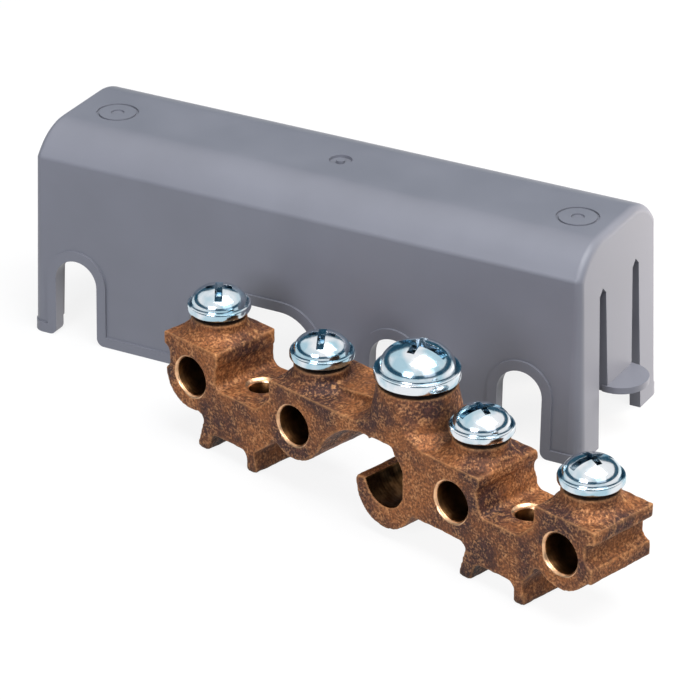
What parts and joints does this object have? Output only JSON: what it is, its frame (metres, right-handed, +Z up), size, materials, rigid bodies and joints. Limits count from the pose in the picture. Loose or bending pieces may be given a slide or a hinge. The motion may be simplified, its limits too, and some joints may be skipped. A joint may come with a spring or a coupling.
{
  "type": "intersystem bonding bridge",
  "caption": "Bonding bridge: a cast bronze bar with screw-clamped wire bores and a lay-in hook, two mounting saddles, and its moulded grey cover standing behind it.",
  "frame": {"origin": "middle of the set's box, on the floor that the bar's feet and the cover's legs stand on", "axes": "+X along the terminal bar with the lay-in hook open towards -X, -Y the bar's front, +Z up"},
  "size_m": [0.1421, 0.0658, 0.0359],
  "materials": {
    "cast_bronze": "rough as-cast, brown, with bright machined edges",
    "zinc_steel": "bright zinc plated",
    "grey_cover": "satin moulded grey"
  },
  "bodies": {
    "bridge": {"terminal_bar": "cast_bronze", "cover": "grey_cover"},
    "clamp_screw_1": {"clamp_screw_1": "zinc_steel"},
    "clamp_screw_2": {"clamp_screw_2": "zinc_steel"},
    "main_screw": {"main_screw": "zinc_steel"},
    "clamp_screw_3": {"clamp_screw_3": "zinc_steel"},
    "clamp_screw_4": {"clamp_screw_4": "zinc_steel"}
  },
  "joints": [
    {"name": "clamp_screw_1_travel", "type": "slide", "parent": "bridge", "child": "clamp_screw_1", "axis": [0, 0, 1], "range_m": [-0.00078, 0.0035]},
    {"name": "clamp_screw_2_travel", "type": "slide", "parent": "bridge", "child": "clamp_screw_2", "axis": [0, 0, 1], "range_m": [-0.00078, 0.0035]},
    {"name": "main_screw_travel", "type": "slide", "parent": "bridge", "child": "main_screw", "axis": [0, 0, 1], "range_m": [-0.00078, 0.006]},
    {"name": "clamp_screw_3_travel", "type": "slide", "parent": "bridge", "child": "clamp_screw_3", "axis": [0, 0, 1], "range_m": [-0.00078, 0.0035]},
    {"name": "clamp_screw_4_travel", "type": "slide", "parent": "bridge", "child": "clamp_screw_4", "axis": [0, 0, 1], "range_m": [-0.00078, 0.0035]}
  ]
}
